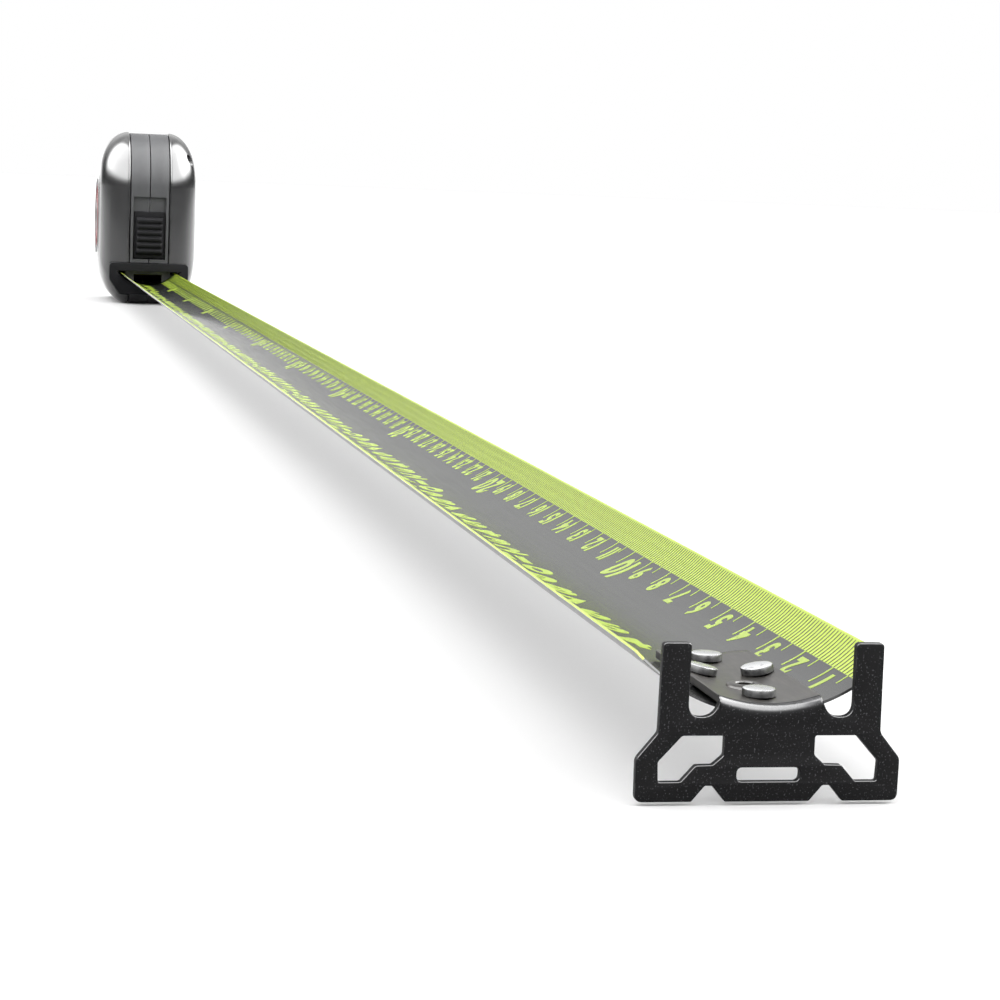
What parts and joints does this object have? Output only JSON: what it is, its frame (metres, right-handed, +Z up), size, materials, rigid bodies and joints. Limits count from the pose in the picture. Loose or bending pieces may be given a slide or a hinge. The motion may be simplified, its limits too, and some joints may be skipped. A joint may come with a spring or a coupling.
{
  "type": "tape measure",
  "caption": "Pocket tape measure with a lime metric blade drawn out of a black and grey case, a wide black end hook with prongs, and a thumb lock on the front.",
  "frame": {"origin": "middle of the flat base under the case", "axes": "+Z up, blade drawn out towards -Y, +X to the right as seen from the hook"},
  "size_m": [0.0504, 1.158, 0.088],
  "materials": {
    "shell": "fine texture, matte",
    "grip": "smooth glossy soft grip",
    "rubber": "matte",
    "label": "satin printed disc",
    "blade_print": "satin lacquer over a black and lime print",
    "coated": "black powder coat",
    "steel": "plated",
    "spring_steel": "tempered strip",
    "nylon": "moulded"
  },
  "bodies": {
    "case": {"right_shell": "shell", "left_shell": "shell", "right_grip": "grip", "left_grip": "grip", "right_label_disc": "label", "left_label_disc": "label", "case_screw_1": "steel", "case_screw_2": "steel", "case_screw_3": "steel", "case_screw_4": "steel", "base_pad": "rubber", "front_bumper": "rubber", "mouth_saddle": "nylon", "lock_detent_spring": "spring_steel", "spindle": "steel"},
    "lock": {"lock_slide": "rubber"},
    "shoe": {"brake_shoe": "nylon"},
    "spool": {"drum": "nylon", "drum_cover": "nylon", "return_spring": "spring_steel", "blade_anchor": "spring_steel", "blade_coil": "blade_print"},
    "blade_end": {"blade": "blade_print", "hook_rivet_1": "steel", "hook_rivet_2": "steel", "hook_rivet_3": "steel", "hook_rivet_4": "steel"},
    "hook": {"hook": "coated"}
  },
  "joints": [
    {"name": "blade_slide", "type": "slide", "parent": "case", "child": "blade_end", "axis": [0, 1, 0], "range_m": [0, 1.0655], "deforming": ["blade"]},
    {"name": "hook_float", "type": "slide", "parent": "blade_end", "child": "hook", "axis": [0, 1, 0], "range_m": [0, 0.001]},
    {"name": "spool_turn", "type": "hinge", "parent": "case", "child": "spool", "pos_m": [0, 0, 0.045], "axis": [1, 0, 0], "range_deg": [0, 1851]},
    {"name": "lock_travel", "type": "slide", "parent": "case", "child": "lock", "axis": [0, 0, 1], "range_m": [0, 0.007]},
    {"name": "shoe_lift", "type": "slide", "parent": "case", "child": "shoe", "axis": [0, 0, 1], "range_m": [0, 0.0012]}
  ],
  "couplings": [
    {"joint": "spool_turn", "follows": "blade_slide", "rad_per_m": 30.303},
    {"joint": "shoe_lift", "follows": "lock_travel", "ratio": 0.1714}
  ]
}
